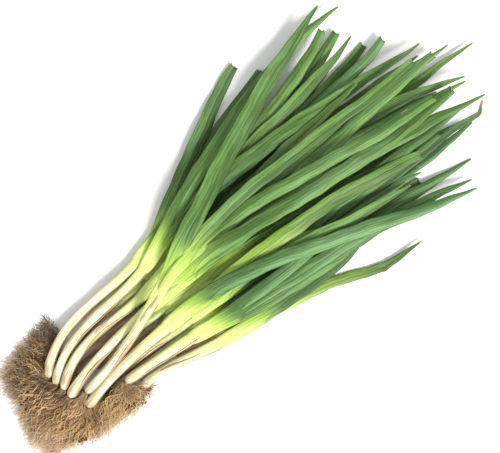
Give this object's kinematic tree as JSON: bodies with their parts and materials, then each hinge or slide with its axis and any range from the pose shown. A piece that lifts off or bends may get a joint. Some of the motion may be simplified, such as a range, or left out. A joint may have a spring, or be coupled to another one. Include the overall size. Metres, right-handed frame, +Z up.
{
  "type": "spring onion bunch",
  "caption": "Bunch of fresh spring onions lying loose, with fibrous brown roots, slender white shanks and a fan of long flattened green leaves.",
  "frame": {"origin": "middle of the bunch's bounding box in plan, on the surface that it lies on", "axes": "+X from the roots to the leaf tips, +Y across the bunch, +Z up"},
  "size_m": [0.5305, 0.236, 0.0511],
  "materials": {
    "shank": "smooth moist plant skin, satin, white at the root end and yellow-green at the neck",
    "leaf_lower": "waxy leaf, satin, dark green",
    "leaf_upper": "waxy leaf, satin, mid green",
    "root": "dry fibrous roots with traces of soil, matte"
  },
  "bodies": {
    "root": {"shank_01": "shank", "leaves_01": "leaf_lower", "roots_01": "root", "shank_02": "shank", "leaves_02": "leaf_lower", "roots_02": "root", "shank_03": "shank", "leaves_03": "leaf_lower", "roots_03": "root", "shank_04": "shank", "leaves_04": "leaf_lower", "roots_04": "root", "shank_05": "shank", "leaves_05": "leaf_lower", "roots_05": "root", "shank_06": "shank", "leaves_06": "leaf_lower", "roots_06": "root", "shank_07": "shank", "leaves_07": "leaf_upper", "roots_07": "root", "shank_08": "shank", "leaves_08": "leaf_upper", "roots_08": "root", "shank_09": "shank", "leaves_09": "leaf_upper", "roots_09": "root", "shank_10": "shank", "leaves_10": "leaf_upper", "roots_10": "root", "shank_11": "shank", "leaves_11": "leaf_upper", "roots_11": "root", "shank_12": "shank", "leaves_12": "leaf_upper", "roots_12": "root", "shank_13": "shank", "leaves_13": "leaf_upper", "roots_13": "root"}
  },
  "joints": []
}
